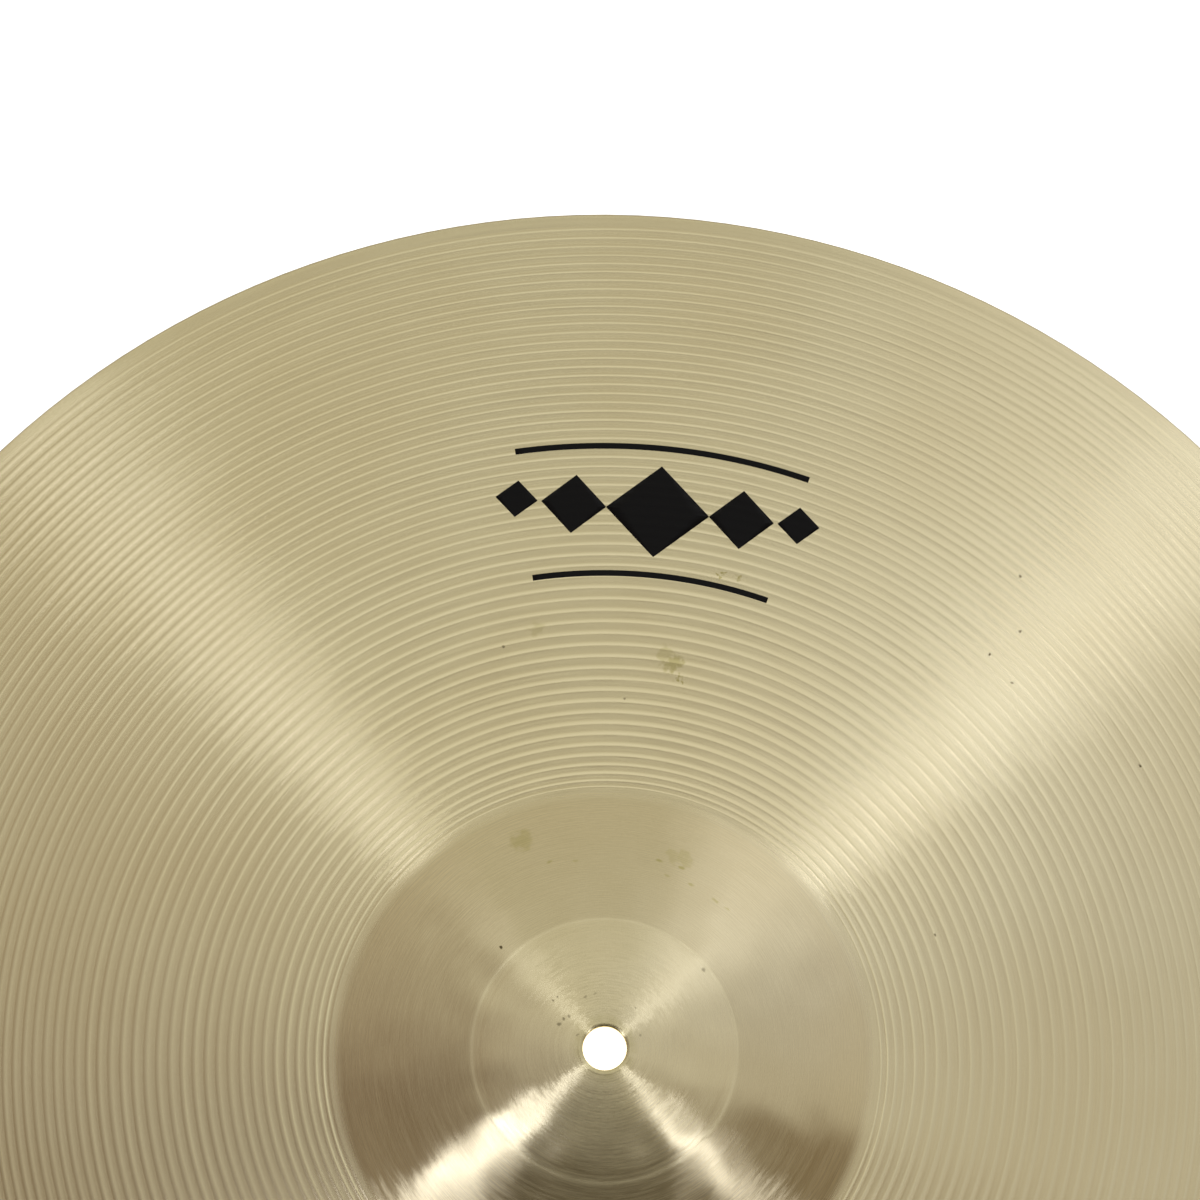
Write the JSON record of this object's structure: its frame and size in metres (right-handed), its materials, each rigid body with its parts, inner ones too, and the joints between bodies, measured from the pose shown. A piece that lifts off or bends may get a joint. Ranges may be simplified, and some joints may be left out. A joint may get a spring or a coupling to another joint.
{
  "type": "crash cymbal",
  "caption": "Round lathed bronze crash cymbal with a domed bell, a gently arched bow and a stand hole, with a plain printed emblem on top.",
  "frame": {"origin": "centre of the lowest circle of the rim, on the plane that the cymbal stands on", "axes": "+Z is the cymbal's axis and points up out of the bell; +Y points from the hole to the printed emblem"},
  "size_m": [0.4572, 0.4572, 0.0476],
  "materials": {
    "lathed_bronze": "spun and lathed cymbal bronze, fine turned grooves, satin to polished",
    "black_ink": "thin satin black screen-printing ink"
  },
  "bodies": {
    "root": {"cymbal_plate": "lathed_bronze", "printed_emblem": "black_ink"}
  },
  "joints": []
}
